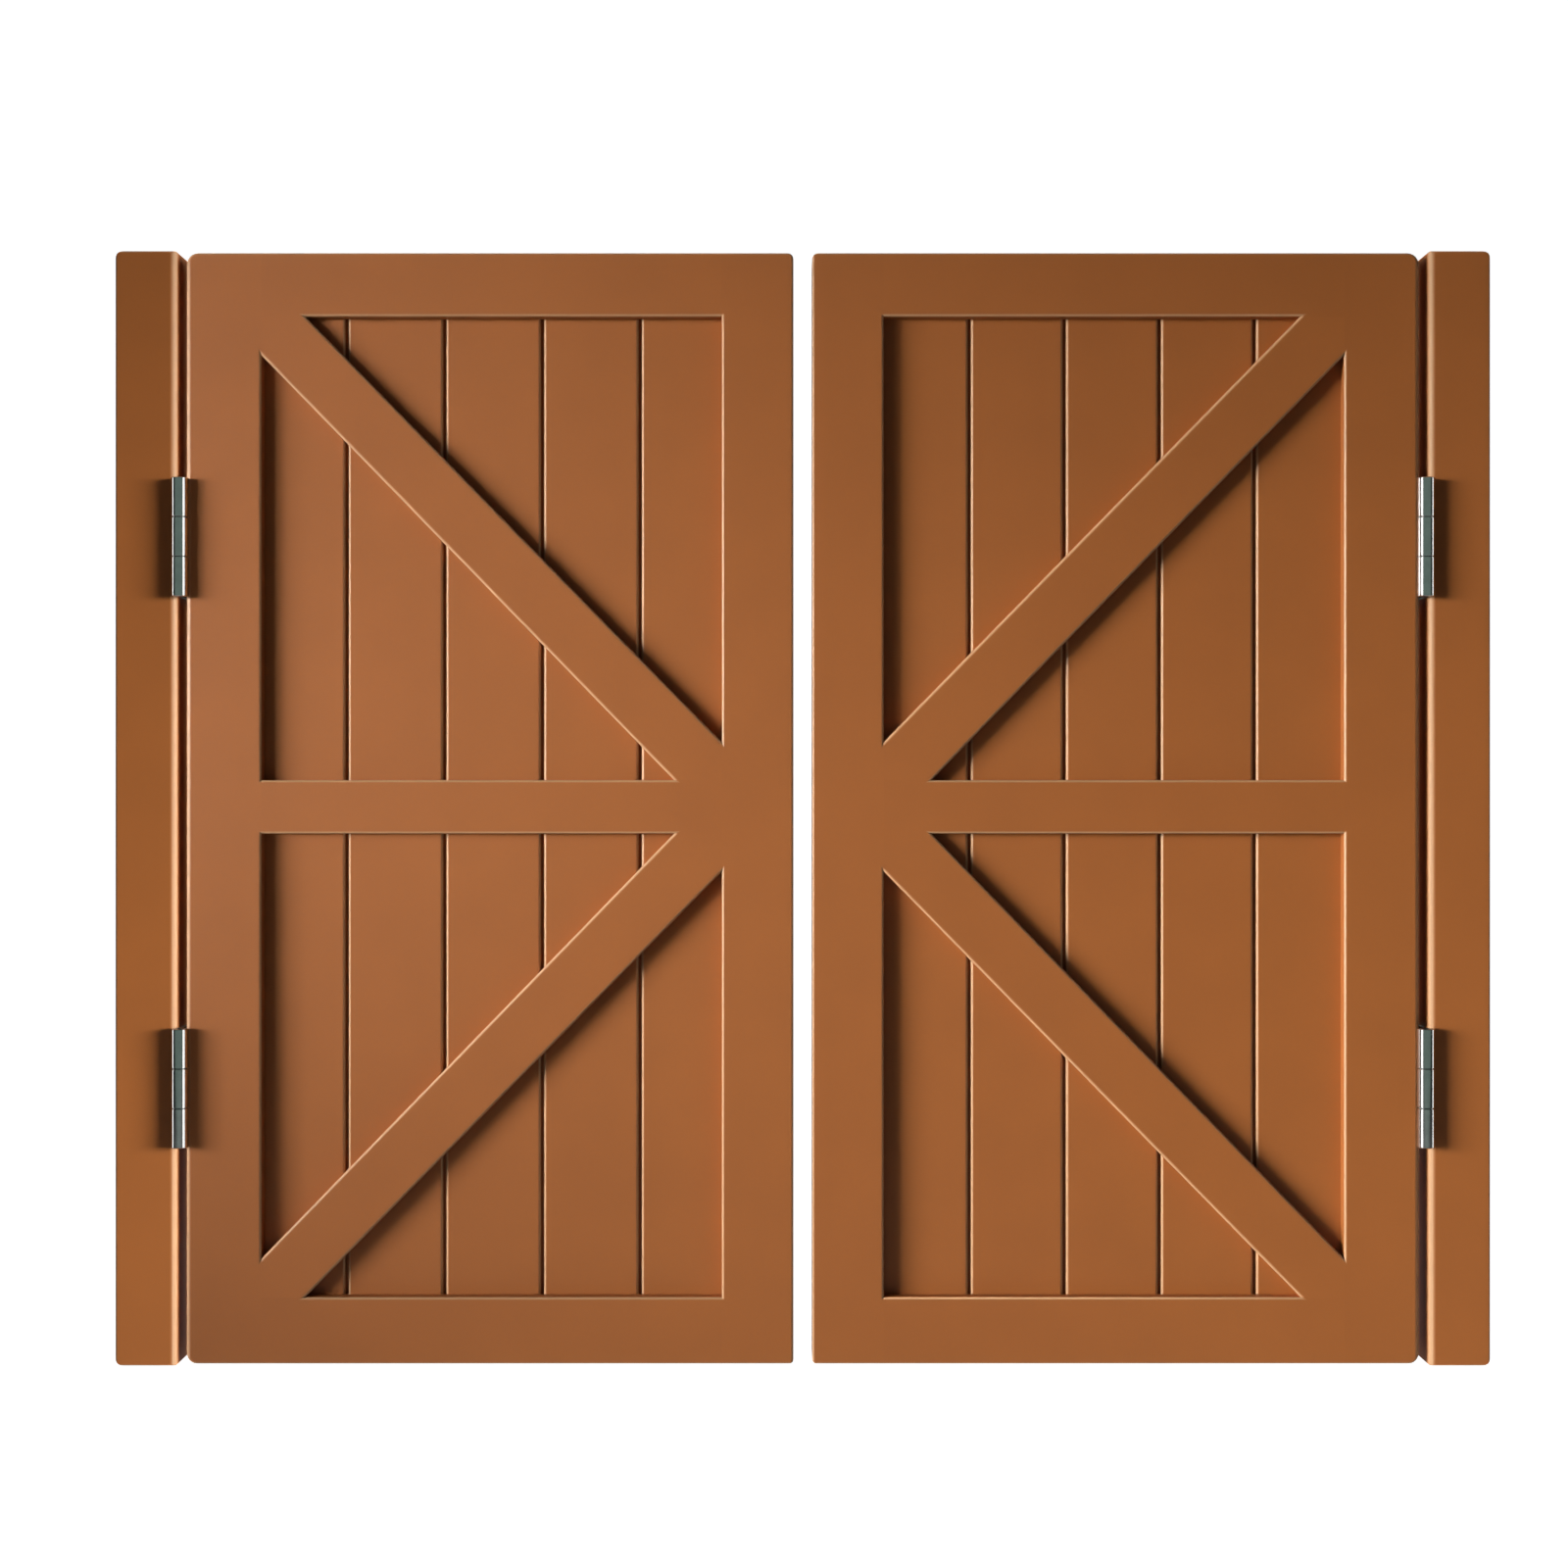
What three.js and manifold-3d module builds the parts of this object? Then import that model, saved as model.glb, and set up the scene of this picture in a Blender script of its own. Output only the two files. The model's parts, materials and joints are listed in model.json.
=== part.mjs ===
// Cafe swinging doors: a pair of short leaves between two posts, hung on double-action spring hinges.
// Millimetres, +Z up, front towards -Y. The origin is the middle of the pair: midway between the
// leaves, in the middle of their thickness and at half their height.

import * as THREE from "three";
import { mergeVertices } from "three/addons/utils/BufferGeometryUtils.js";
import Module from "manifold-3d";

// Leaf frame
const leafHeight = 956.5;
const frameThickness = 38;
const hingeStileWidth = 64.8;
const meetingStileWidth = 61.5;
const openingWidth = 396.5;
const topRailHeight = 54.6;
const middleRailHeight = 46;
const bottomRailHeight = 57.2;
const glueGap = 0.15;

// Rounded edges: outer edges, the tall edges of leaf and post beside a hinge, and the routed openings
const outerArris = 2;
const leafHingeArris = 4;
const postHingeArris = 6;
const routedArris = 2.5;

// Braces: how far each end lands along the rail and along the stile, measured from the opening's corner
const railLanding = { hinge: 37.6, meeting: 41.2 };
const stileLanding = { hinge: 33.6, meeting: 32.8 };

// Tongued and grooved boards: each leaf's own cover width, with the outermost boards cut to fit
const boardCount = 5;
const boardCover = { left: 84.7, right: 82.4 };
const boardThickness = 14;
const boardGap = 3;
const boardChamfer = 1.5;
const boardPlay = 0.2;
const tongueThickness = 4;
const tongueLength = 7;
const tonguePlay = 0.3;
const panelGrooveDepth = 10;
const panelEntry = 8.6;
const panelGroovePlay = 0.3;

// Mortise and tenon joints of the top and bottom rails
const tenonLength = 30;
const tenonHeight = 34;
const tenonThickness = 12;
const tenonFromEdge = 6;
const mortisePlay = 0.3;

// Posts, and the gaps that let the leaves swing
const postWidth = 53;
const postHeight = 960;
const postCornerRadius = 7;
const meetingGap = 16.4;
const hingeGap = 8;

// Hinges
const hingeFromTop = 245.3;
const hingeFromBottom = 238.3;
const barrelLength = 102;
const barrelRadius = 7.5;
const barrelBore = 5.9;
const barrelStandoff = 4.7;
const barrelSides = 20;
const knuckleGap = 0.6;
const plateThickness = 2;
const plateCorner = 3;
const plateBedding = 0.1;
const webEdge = 0.4;
const neckReach = 6.4;
const screwHole = 2.2;
const screwHead = 4;
const screwSides = 10;
const screwFromEdge = 7;
const screwFromEnd = 11;
const screwPitch = 12;

// Spindles and springs inside the barrels
const spindleRadius = 5.5;
const spindleWaist = 2.5;
const spindleSides = 14;
const spindleShoulder = 17.6;
const keySocketRadius = 2.4;
const keySocketDepth = 6;
const keySocketSides = 6;
const springRadius = 4.1;
const springWire = 2;
const springTurns = 7;
const springEndGap = 0.3;
const stepsPerCurl = 8;
const wireSides = 5;
const gapSamplesPerStep = 4;

// Facets of a quarter round, and how far a cutter runs past what it cuts
const quarterSteps = 4;
const overrun = 1;

// Heights and widths worked out from the driving sizes. In a leaf, X runs from its meeting edge
// to its hinge edge; in a post, from its inner face to the wall.
const leafWidth = meetingStileWidth + openingWidth + hingeStileWidth;
const meetingSide = meetingStileWidth;
const hingeSide = meetingStileWidth + openingWidth;
const openingHeight = (leafHeight - topRailHeight - middleRailHeight - bottomRailHeight) / 2;
const leafTop = leafHeight / 2;
const leafBottom = -leafTop;
const upperTop = leafTop - topRailHeight;
const upperBottom = upperTop - openingHeight;
const lowerBottom = leafBottom + bottomRailHeight;
const lowerTop = lowerBottom + openingHeight;
const face = frameThickness / 2;
const panelFace = boardThickness / 2;
const hingeAxis = meetingGap / 2 + leafWidth + hingeGap / 2;
const plateHalf = face - postHingeArris;
const barrelOffset = face + barrelStandoff;
const knuckleLength = barrelLength / 3;
const upperHinge = leafTop - hingeFromTop;
const lowerHinge = leafBottom + hingeFromBottom;

// The end of a brace at the hinge stile and the end at the meeting stile, for both openings of a leaf.
const openings = {
  upper: { hingeEnd: upperTop, meetingEnd: upperBottom },
  lower: { hingeEnd: lowerBottom, meetingEnd: lowerTop },
};

const paint = { color: 0xa06239, roughness: 0.45, metalness: 0 };
const plateSteel = { color: 0xb9bdb9, roughness: 0.3, metalness: 1 };
const spindleSteel = { color: 0x8f938f, roughness: 0.4, metalness: 1 };
const springSteel = { color: 0x5a5d60, roughness: 0.45, metalness: 1 };

const axisX = new THREE.Vector3(1, 0, 0);
const axisY = new THREE.Vector3(0, 1, 0);
const axisZ = new THREE.Vector3(0, 0, 1);

const wasm = await Module();
wasm.setup();

// A closed geometry as a solid that can be joined and cut.
function solid(geometry) {
  const bare = geometry.clone();
  bare.deleteAttribute("normal");
  bare.deleteAttribute("uv");
  const merged = mergeVertices(bare);
  return new wasm.Manifold(
    new wasm.Mesh({
      numProp: 3,
      vertProperties: merged.attributes.position.array,
      triVerts: new Uint32Array(merged.index.array),
    }),
  );
}

// A solid back as a flat-shaded geometry.
function geometryOf(body) {
  const { vertProperties, triVerts } = body.getMesh();
  const geometry = new THREE.BufferGeometry();
  geometry.setAttribute("position", new THREE.BufferAttribute(vertProperties, 3));
  geometry.setIndex(new THREE.BufferAttribute(triVerts, 1));
  const flat = geometry.toNonIndexed();
  flat.computeVertexNormals();
  return flat;
}

function extrusion(shape, depth) {
  const curveSegments = quarterSteps / 2;
  return new THREE.ExtrudeGeometry(shape, { depth, curveSegments, bevelEnabled: false });
}

// A shape drawn in Y and Z, carried along X.
function prismX(shape, x0, x1) {
  const turn = new THREE.Matrix4().makeBasis(axisY, axisZ, axisX);
  return solid(extrusion(shape, x1 - x0).applyMatrix4(turn).translate(x0, 0, 0));
}

// A shape drawn in X and Z, carried along Y.
function prismY(shape, y0, y1) {
  const upright = extrusion(shape, y1 - y0).rotateX(Math.PI / 2);
  return solid(upright.translate(0, y1, 0));
}

// A shape drawn in X and Y, carried along Z.
function prismZ(shape, z0, z1) {
  return solid(extrusion(shape, z1 - z0).translate(0, 0, z0));
}

function box(x0, x1, y0, y1, z0, z1) {
  const geometry = new THREE.BoxGeometry(x1 - x0, y1 - y0, z1 - z0);
  return solid(geometry.translate((x0 + x1) / 2, (y0 + y1) / 2, (z0 + z1) / 2));
}

// A profile of radius and height, turned about the Z axis.
function turned(profile, sides) {
  const points = profile.map(([radius, height]) => new THREE.Vector2(radius, height));
  return new THREE.LatheGeometry(points, sides).rotateX(Math.PI / 2);
}

// A rectangle with a radius at each corner, from the low corner round by the right-hand side.
function roundedRect(x0, y0, x1, y1, [low, right, high, left]) {
  const quarter = Math.PI / 2;
  const shape = new THREE.Shape();
  shape.absarc(x0 + low, y0 + low, low, 2 * quarter, 3 * quarter);
  shape.absarc(x1 - right, y0 + right, right, 3 * quarter, 4 * quarter);
  shape.absarc(x1 - high, y1 - high, high, 0, quarter);
  shape.absarc(x0 + left, y1 - left, left, quarter, 2 * quarter);
  return shape;
}

function polygon(corners) {
  return new THREE.Shape(corners.map(([x, y]) => new THREE.Vector2(x, y)));
}

function rectangle(x0, x1, z0, z1) {
  return polygon([[x0, z0], [x1, z0], [x1, z1], [x0, z1]]);
}

// Routed openings

// The two long edges of a brace, each from the hinge stile's end to the meeting stile's end.
function braceEdges({ hingeEnd, meetingEnd }) {
  const up = Math.sign(meetingEnd - hingeEnd);
  const nearMeeting = [
    [hingeSide - railLanding.hinge, hingeEnd],
    [meetingSide, meetingEnd - up * stileLanding.meeting],
  ];
  const nearHinge = [
    [hingeSide, hingeEnd + up * stileLanding.hinge],
    [meetingSide + railLanding.meeting, meetingEnd],
  ];
  return { nearMeeting, nearHinge };
}

// The two triangles that a brace leaves open in its opening.
function triangles(opening) {
  const { nearMeeting, nearHinge } = braceEdges(opening);
  return [
    [...nearMeeting, [meetingSide, opening.hingeEnd]],
    [...nearHinge, [hingeSide, opening.meetingEnd]],
  ];
}

// The direction square to a side of an anticlockwise outline, pointing out of it.
function outward(from, to) {
  const along = to.clone().sub(from).normalize();
  return new THREE.Vector2(along.y, -along.x);
}

// An anticlockwise outline with every side moved outwards, its corners mitred.
function widened(outline, distance) {
  const count = outline.length;
  return outline.map((corner, i) => {
    const before = outward(outline[(i + count - 1) % count], corner);
    const after = outward(corner, outline[(i + 1) % count]);
    const mitre = before.clone().add(after);
    return mitre.multiplyScalar(distance / (1 + before.dot(after))).add(corner);
  });
}

// A closed solid through rings of points that lie one behind the other along -Y.
function loft(rings) {
  const count = rings[0].length;
  const last = (rings.length - 1) * count;
  const indices = [];
  for (let i = 1; i + 1 < count; i += 1) {
    indices.push(0, i + 1, i);
    indices.push(last, last + i, last + i + 1);
  }
  for (let base = 0; base < last; base += count) {
    for (let i = 0; i < count; i += 1) {
      const next = (i + 1) % count;
      indices.push(base + i, base + next, base + count + next);
      indices.push(base + i, base + count + next, base + count + i);
    }
  }
  const geometry = new THREE.BufferGeometry().setFromPoints(rings.flat());
  return solid(geometry.setIndex(indices));
}

// The cutter that rounds the edge of one triangle over, on the front (side -1) or the back (side 1).
// It opens out in a quarter round and stops just below it, so the walls stay as they are sawn.
function roundOver(corners, side) {
  const outline = corners.map(([x, z]) => new THREE.Vector2(x, z));
  if (THREE.ShapeUtils.isClockWise(outline)) outline.reverse();
  const ringAt = (distance, depth) =>
    widened(outline, distance).map((p) => new THREE.Vector3(p.x, side * (face - depth), p.y));
  const rings = [ringAt(routedArris, -overrun)];
  for (let step = 0; step <= quarterSteps; step += 1) {
    const angle = (step / quarterSteps) * (Math.PI / 2);
    rings.push(ringAt(routedArris * (1 - Math.sin(angle)), routedArris * (1 - Math.cos(angle))));
  }
  rings.push(ringAt(-glueGap, routedArris + glueGap));
  if (side < 0) rings.reverse();
  return loft(rings);
}

// Leaf

// The whole leaf as one slab with its outer edges rounded and its openings' edges routed.
// Every piece of the frame is cut from it, so the rounds run on from piece to piece.
function routedSlab() {
  const { upper, lower } = openings;
  const planRadii = [outerArris, leafHingeArris, leafHingeArris, outerArris];
  const plan = roundedRect(0, -face, leafWidth, face, planRadii);
  const side = roundedRect(-face, leafBottom, face, leafTop, Array(4).fill(outerArris));
  const upright = prismZ(plan, leafBottom - overrun, leafTop + overrun);
  const slab = upright.intersect(prismX(side, -overrun, leafWidth + overrun));
  const cutters = [...triangles(upper), ...triangles(lower)].flatMap((corners) => [
    roundOver(corners, -1),
    roundOver(corners, 1),
  ]);
  return cutters.reduce((body, cutter) => body.subtract(cutter), slab);
}

const slab = routedSlab();

// The groove round the inside of the frame that holds the boards.
function panelGroove() {
  const halfWidth = panelFace + panelGroovePlay;
  return box(
    meetingSide - panelGrooveDepth,
    hingeSide + panelGrooveDepth,
    -halfWidth,
    halfWidth,
    lowerBottom - panelGrooveDepth,
    upperTop + panelGrooveDepth,
  );
}

// The tenons at both ends of a rail as one bar, made larger by the play where it cuts the mortises.
function tenonBar(up, play) {
  const outer = up * (leafTop - tenonFromEdge + play);
  const inner = up * (leafTop - tenonFromEdge - tenonHeight - play);
  const reach = tenonLength + play;
  const half = tenonThickness / 2 + play;
  const low = Math.min(inner, outer);
  const high = Math.max(inner, outer);
  return box(meetingSide - reach, hingeSide + reach, -half, half, low, high);
}

function stile(x0, x1) {
  const outline = rectangle(x0, x1, leafBottom - overrun, leafTop + overrun);
  return slab
    .intersect(prismY(outline, -face - overrun, face + overrun))
    .subtract(panelGroove())
    .subtract(tenonBar(1, mortisePlay))
    .subtract(tenonBar(-1, mortisePlay));
}

function endRail(up, z0, z1) {
  const outline = rectangle(meetingSide + glueGap, hingeSide - glueGap, z0, z1);
  return slab
    .intersect(prismY(outline, -face - overrun, face + overrun))
    .add(tenonBar(up, 0))
    .subtract(panelGroove());
}

// A piece planted on the boards, on the front (side -1) or the back (side 1).
function planted(outline, side) {
  const inner = side * (panelFace + boardPlay);
  const outer = side * (face + overrun);
  return slab.intersect(prismY(outline, Math.min(inner, outer), Math.max(inner, outer)));
}

function middleRail(side) {
  const outline = rectangle(meetingSide + glueGap, hingeSide - glueGap, lowerTop, upperBottom);
  return planted(outline, side);
}

// A diagonal whose ends fill a corner of the opening each.
function brace(opening, side) {
  const { hingeEnd, meetingEnd } = opening;
  const { nearMeeting, nearHinge } = braceEdges(opening);
  const corners = [[hingeSide, hingeEnd], ...nearMeeting, [meetingSide, meetingEnd], ...nearHinge.reverse()];
  const outline = polygon(corners);
  const low = Math.min(hingeEnd, meetingEnd) + glueGap;
  const high = Math.max(hingeEnd, meetingEnd) - glueGap;
  const fitted = box(meetingSide + glueGap, hingeSide - glueGap, -face - overrun, face + overrun, low, high);
  return planted(outline, side).intersect(fitted);
}

// A board in plan: a groove in its edge towards the meeting stile and a tongue on the other.
// The outermost edges are plain, because they stand in the stiles' grooves.
function board(index, cover) {
  const start = meetingSide + openingWidth / 2 + (index - boardCount / 2) * cover;
  const grooved = index > 0;
  const tongued = index < boardCount - 1;
  const left = grooved ? start + boardGap / 2 : meetingSide - panelEntry;
  const right = tongued ? start + cover - boardGap / 2 : hingeSide + panelEntry;
  const leftChamfer = grooved ? boardChamfer : 0;
  const rightChamfer = tongued ? boardChamfer : 0;
  const tongue = tongueThickness / 2;
  const groove = tongue + tonguePlay;
  const grooveBottom = left + tongueLength - boardGap + overrun;
  const points = [[left + leftChamfer, -panelFace], [right - rightChamfer, -panelFace]];
  if (tongued) {
    points.push([right, -panelFace + boardChamfer], [right, -tongue], [right + tongueLength, -tongue]);
    points.push([right + tongueLength, tongue], [right, tongue], [right, panelFace - boardChamfer]);
  }
  points.push([right - rightChamfer, panelFace], [left + leftChamfer, panelFace]);
  if (grooved) {
    points.push([left, panelFace - boardChamfer], [left, groove], [grooveBottom, groove]);
    points.push([grooveBottom, -groove], [left, -groove], [left, -panelFace + boardChamfer]);
  }
  return prismZ(polygon(points), lowerBottom - panelEntry, upperTop + panelEntry);
}

function framePieces() {
  const pieces = {
    hinge_stile: stile(hingeSide, leafWidth + overrun),
    meeting_stile: stile(-overrun, meetingSide),
    top_rail: endRail(1, upperTop, leafTop + overrun),
    bottom_rail: endRail(-1, leafBottom - overrun, lowerBottom),
  };
  for (const [name, side] of [["front", -1], ["back", 1]]) {
    pieces[`${name}_middle_rail`] = middleRail(side);
    pieces[`${name}_upper_brace`] = brace(openings.upper, side);
    pieces[`${name}_lower_brace`] = brace(openings.lower, side);
  }
  return pieces;
}

// Posts

function post() {
  const half = postHeight / 2;
  const planRadii = [postHingeArris, outerArris, outerArris, postHingeArris];
  const frontRadii = [outerArris, postCornerRadius, postCornerRadius, outerArris];
  const plan = roundedRect(0, -face, postWidth, face, planRadii);
  const front = roundedRect(0, -half, postWidth, half, frontRadii);
  const side = roundedRect(-face, -half, face, half, Array(4).fill(outerArris));
  return prismZ(plan, -half - overrun, half + overrun)
    .intersect(prismY(front, -face - overrun, face + overrun))
    .intersect(prismX(side, -overrun, postWidth + overrun));
}

// Hinges, drawn about the middle of the gap between leaf and post

function knuckle(y, z0, z1) {
  const profile = [
    [barrelBore, z0],
    [barrelRadius, z0],
    [barrelRadius, z1],
    [barrelBore, z1],
    [barrelBore, z0],
  ];
  return solid(turned(profile, barrelSides).translate(0, y, 0));
}

// The countersunk holes of a flange, widest on the side that faces the link.
function screwHoles(x0, x1) {
  const depth = x1 - x0;
  const slope = (screwHead - screwHole) / depth;
  const profile = [
    [0, -overrun],
    [screwHead + slope * overrun, -overrun],
    [screwHole, depth],
    [screwHole, depth + overrun],
    [0, depth + overrun],
  ];
  const edge = plateHalf - screwFromEdge;
  const end = barrelLength / 2 - screwFromEnd;
  const places = [[-edge, end], [edge, end - screwPitch], [edge, screwPitch - end], [-edge, -end]];
  return places.map(([y, z]) => {
    const hole = turned(profile, screwSides).rotateY(Math.PI / 2);
    return solid(hole.translate(x0, y, z));
  });
}

// A flange: the plate screwed to the wood, and the middle knuckle of the front barrel.
function flange() {
  const x1 = hingeGap / 2 - plateBedding;
  const x0 = x1 - plateThickness;
  const half = barrelLength / 2;
  const mid = knuckleLength / 2 - knuckleGap / 2;
  const outline = roundedRect(-plateHalf, -half, plateHalf, half, Array(4).fill(plateCorner));
  const plate = prismX(outline, x0, x1);
  const neck = box(x0, x1, neckReach - barrelOffset, overrun - plateHalf, -mid, mid);
  const body = plate.add(neck).add(knuckle(-barrelOffset, -mid, mid));
  return screwHoles(x0, x1).reduce((left, hole) => left.subtract(hole), body);
}

// The link: a web between the flanges, with the outer knuckles of both barrels.
function link() {
  const half = barrelLength / 2;
  const mid = knuckleLength / 2 + knuckleGap / 2;
  const thick = plateThickness / 2;
  const webHalf = plateHalf + webEdge;
  const reach = barrelOffset - neckReach;
  let body = box(-thick, thick, -webHalf, webHalf, -half, half);
  for (const [z0, z1] of [[mid, half], [-half, -mid]]) {
    body = body.add(box(-thick, thick, -reach, reach, z0, z1));
    body = body.add(knuckle(-barrelOffset, z0, z1)).add(knuckle(barrelOffset, z0, z1));
  }
  return body;
}

// A spindle: a waist inside the spring, a shoulder at each end, and a key socket for winding it up.
function spindle() {
  const half = barrelLength / 2;
  const profile = [
    [0, -half],
    [spindleRadius, -half],
    [spindleRadius, -spindleShoulder],
    [spindleWaist, -spindleShoulder],
    [spindleWaist, spindleShoulder],
    [spindleRadius, spindleShoulder],
    [spindleRadius, half],
    [0, half],
  ];
  const body = solid(turned(profile, spindleSides));
  const depth = keySocketDepth + overrun;
  const socket = new THREE.CylinderGeometry(keySocketRadius, keySocketRadius, depth, keySocketSides);
  const above = half + overrun - depth / 2;
  return body.subtract(solid(socket.rotateX(Math.PI / 2).translate(0, 0, above)));
}

// The line of the spring's wire: a helix whose ends stand up against the spindle's shoulders.
function springLine() {
  const end = spindleShoulder - springEndGap;
  const start = springWire - end;
  const rise = -2 * start;
  const count = springTurns * stepsPerCurl;
  const points = [new THREE.Vector3(springRadius, 0, -end)];
  for (let i = 0; i <= count; i += 1) {
    const angle = (i / stepsPerCurl) * 2 * Math.PI;
    const z = start + (rise * i) / count;
    points.push(new THREE.Vector3(springRadius * Math.cos(angle), springRadius * Math.sin(angle), z));
  }
  points.push(new THREE.Vector3(springRadius, 0, end));
  return new THREE.CatmullRomCurve3(points);
}

// The least gap between two curls, measured on points of the line that are over half a curl apart.
function leastGap(line) {
  const samplesPerCurl = stepsPerCurl * gapSamplesPerStep;
  const points = line.getSpacedPoints(springTurns * samplesPerCurl);
  const apart = samplesPerCurl / 2;
  let least = Infinity;
  points.forEach((point, i) => {
    points.slice(i + apart).forEach((other) => {
      least = Math.min(least, point.distanceTo(other));
    });
  });
  return least - springWire;
}

function spring() {
  const line = springLine();
  console.log(`least gap between the curls of a spring: ${leastGap(line).toFixed(2)} mm`);
  const corners = Array.from({ length: wireSides }, (_, i) => {
    const angle = (i / wireSides) * 2 * Math.PI;
    return [(springWire / 2) * Math.cos(angle), (springWire / 2) * Math.sin(angle)];
  });
  const endSteps = 2;
  const steps = springTurns * stepsPerCurl + endSteps;
  const wire = { steps, extrudePath: line, bevelEnabled: false };
  return solid(new THREE.ExtrudeGeometry(polygon(corners), wire));
}

// Assembly

function mesh(name, geometry, finish) {
  const piece = new THREE.Mesh(geometry, new THREE.MeshStandardMaterial(finish));
  piece.name = name;
  return piece;
}

const frameGeometries = Object.entries(framePieces()).map(([name, body]) => [name, geometryOf(body)]);
const postGeometry = geometryOf(post());
const flangeGeometry = geometryOf(flange());
const linkGeometry = geometryOf(link());
const spindleGeometry = geometryOf(spindle());
const springGeometry = geometryOf(spring());

// A leaf on its side of the middle, drawn for the right and mirrored for the left.
function leaf(name, side) {
  const group = new THREE.Group();
  frameGeometries.forEach(([piece, geometry]) => group.add(mesh(`${name}_${piece}`, geometry, paint)));
  for (let index = 0; index < boardCount; index += 1) {
    const geometry = geometryOf(board(index, boardCover[name]));
    group.add(mesh(`${name}_board_${index + 1}`, geometry, paint));
  }
  group.position.x = (side * meetingGap) / 2;
  group.scale.x = side;
  return group;
}

function postAt(name, side) {
  const piece = mesh(`${name}_post`, postGeometry, paint);
  piece.position.x = side * (hingeAxis + hingeGap / 2);
  piece.scale.x = side;
  return piece;
}

// A hinge is the same on both sides of the doorway. Its flange on +X goes to the leaf at the left
// and to the post at the right; the other flange is the same piece turned half round.
function hinge(name, side, height) {
  const [plusX, minusX] = side < 0 ? ["leaf", "post"] : ["post", "leaf"];
  const group = new THREE.Group();
  const turnedFlange = mesh(`${name}_${minusX}_flange`, flangeGeometry, plateSteel);
  turnedFlange.rotation.z = Math.PI;
  group.add(mesh(`${name}_${plusX}_flange`, flangeGeometry, plateSteel), turnedFlange);
  group.add(mesh(`${name}_link`, linkGeometry, plateSteel));
  for (const [barrel, way] of [["front", -1], ["back", 1]]) {
    const core = new THREE.Group();
    core.add(mesh(`${name}_${barrel}_spindle`, spindleGeometry, spindleSteel));
    core.add(mesh(`${name}_${barrel}_spring`, springGeometry, springSteel));
    core.position.y = way * barrelOffset;
    group.add(core);
  }
  group.position.set(side * hingeAxis, 0, height);
  return group;
}

const doors = new THREE.Group();
for (const [name, side] of [["left", -1], ["right", 1]]) {
  doors.add(postAt(name, side), leaf(name, side));
  doors.add(hinge(`${name}_upper`, side, upperHinge), hinge(`${name}_lower`, side, lowerHinge));
}

export default doors;
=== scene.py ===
"""Looks of a pair of cafe swinging doors: painted woodwork, steel spring hinges, studio and camera."""
import json
import math

import bmesh
import bpy
from mathutils import Matrix, Vector

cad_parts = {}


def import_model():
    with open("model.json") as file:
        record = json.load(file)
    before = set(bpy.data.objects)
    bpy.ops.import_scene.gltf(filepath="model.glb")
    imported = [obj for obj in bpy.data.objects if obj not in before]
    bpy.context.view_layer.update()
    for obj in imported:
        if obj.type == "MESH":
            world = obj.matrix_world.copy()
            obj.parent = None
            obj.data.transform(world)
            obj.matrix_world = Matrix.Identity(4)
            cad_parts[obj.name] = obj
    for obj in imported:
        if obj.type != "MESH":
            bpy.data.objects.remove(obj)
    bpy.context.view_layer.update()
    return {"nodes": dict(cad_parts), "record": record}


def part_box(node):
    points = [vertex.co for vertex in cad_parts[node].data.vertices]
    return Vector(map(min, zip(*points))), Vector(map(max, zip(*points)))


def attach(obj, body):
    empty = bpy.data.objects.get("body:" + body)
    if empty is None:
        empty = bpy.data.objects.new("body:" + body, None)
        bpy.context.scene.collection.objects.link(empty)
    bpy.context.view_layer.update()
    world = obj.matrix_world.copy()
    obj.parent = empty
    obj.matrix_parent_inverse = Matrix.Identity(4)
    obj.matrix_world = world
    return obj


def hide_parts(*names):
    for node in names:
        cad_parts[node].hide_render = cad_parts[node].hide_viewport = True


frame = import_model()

MM = 0.001
SIDES = ("left", "right")
LEVELS = ("upper", "lower")
BODY_OF = {
    node: body
    for body, nodes in frame["record"]["behaviour"]["bodies"].items()
    for node in nodes
}

# Meshes: points nearer than these are merged, the second after joining and cutting.
# Facets within the flat angle become one face, and edges past the sharp angle stay sharp.
MERGE_DISTANCE = 0.001 * MM
SLIVER = 0.002 * MM
FLAT_ANGLE = math.radians(1)
SHARP_EDGE = math.radians(35)
CORNER_STEPS = 6
CUT_MARGIN = 1 * MM

# Woodwork: the paint bridges the glue lines, and the boards' edges are sanded.
# The grain leans from upright in degrees.
PAINT_FILM = 0.08 * MM
MITRE_LIMIT = 2.5
BOARD_EDGE = 0.8 * MM
BOARD_EDGE_STEPS = 3
WOODEN_KINDS = ("post", "stile", "rail", "brace", "board")
GRAIN_LEANS = {"upright": 0, "across": 90, "rising": -45, "falling": 45}

# Leaf corners: radius at the top and at the bottom, and the arris of the upright edge.
# The top and bottom edges have an arris of their own.
LEAF_CORNERS = {
    "hinge_stile": (10 * MM, 9 * MM, 4 * MM),
    "meeting_stile": (5 * MM, 3.5 * MM, 2 * MM),
}
END_ARRIS = 2 * MM
ARRIS_STEPS = 4

# Noise, and the part of its range that is spread over the wanted range
NOISE_DETAIL = 2.0
NOISE_RANGE = (0.3, 0.7)

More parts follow.
